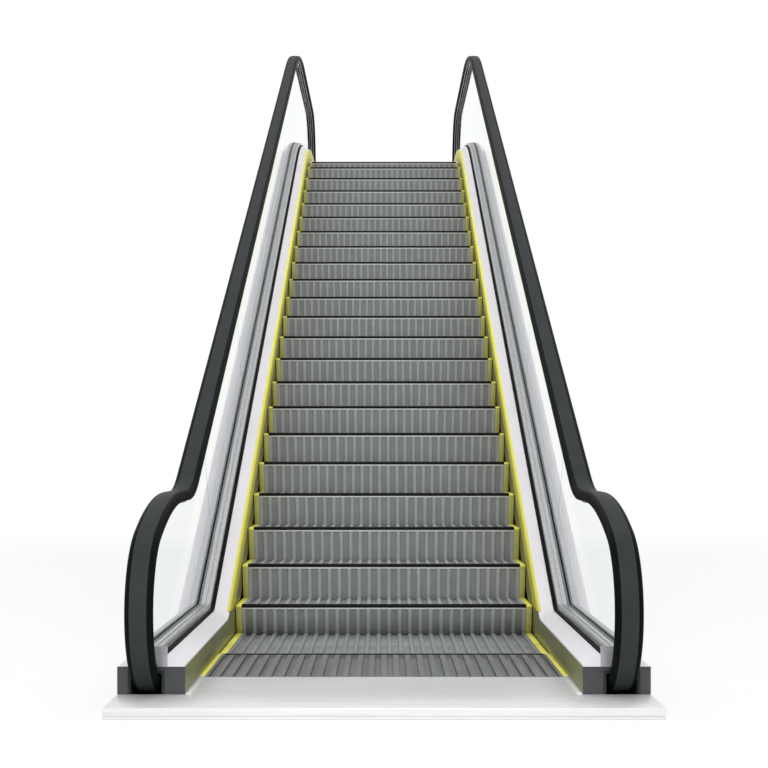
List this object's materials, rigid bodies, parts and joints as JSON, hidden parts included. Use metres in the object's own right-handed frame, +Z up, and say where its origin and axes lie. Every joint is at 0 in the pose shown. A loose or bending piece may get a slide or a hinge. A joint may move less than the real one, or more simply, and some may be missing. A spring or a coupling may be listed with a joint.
{
  "type": "escalator",
  "caption": "Straight escalator with ribbed steps between glass balustrades, black handrails, comb plates and landing floor plates, shown from ground level up.",
  "frame": {"origin": "on the flat underside of the base pan at ground level, midway between the balustrades, where the line through the step noses meets the lower landing", "axes": "+Y up the incline away from the lower landing, +X to the right of a rider going up, +Z up"},
  "size_m": [1.93, 11.1289, 4.854],
  "materials": {
    "step_aluminium": "ribbed, satin",
    "comb_aluminium": "ribbed, satin",
    "edge_yellow": "satin",
    "floor_steel": "fine brushed",
    "skirt_dark": "satin, dry-film coated",
    "deck_pale": "satin",
    "clamp_aluminium": "anodised",
    "pane_glass": "clear, polished edges",
    "guide_steel": "brushed",
    "handrail_rubber": "smooth, semi-gloss",
    "base_dark": "satin",
    "cladding_dark": "satin",
    "structure_steel": "primed"
  },
  "bodies": {
    "root": {"base_pan": "floor_steel", "edge_strips_left": "edge_yellow", "edge_strips_right": "edge_yellow", "glass_clamp_left": "clamp_aluminium", "glass_clamp_right": "clamp_aluminium", "handrail_guide_left": "guide_steel", "handrail_guide_right": "guide_steel", "handrail_left": "handrail_rubber", "handrail_right": "handrail_rubber", "incline_glass_left": "pane_glass", "incline_glass_right": "pane_glass", "inner_deck_left": "deck_pale", "inner_deck_right": "deck_pale", "lower_comb_plate": "comb_aluminium", "lower_flat_steps": "step_aluminium", "lower_floor_plate": "floor_steel", "lower_newel_base_left": "base_dark", "lower_newel_base_right": "base_dark", "lower_newel_glass_left": "pane_glass", "lower_newel_glass_right": "pane_glass", "lower_steps": "step_aluminium", "middle_steps": "step_aluminium", "outer_deck_left": "deck_pale", "outer_deck_right": "deck_pale", "side_cladding_left": "cladding_dark", "side_cladding_right": "cladding_dark", "skirt_left": "skirt_dark", "skirt_right": "skirt_dark", "soffit": "cladding_dark", "step_track_left": "structure_steel", "step_track_right": "structure_steel", "upper_bearer": "structure_steel", "upper_comb_plate": "comb_aluminium", "upper_cross_beam": "structure_steel", "upper_end_plate": "structure_steel", "upper_flat_steps": "step_aluminium", "upper_floor_plate": "floor_steel", "upper_newel_base_left": "base_dark", "upper_newel_base_right": "base_dark", "upper_newel_glass_left": "pane_glass", "upper_newel_glass_right": "pane_glass", "upper_steps": "step_aluminium"}
  },
  "joints": []
}
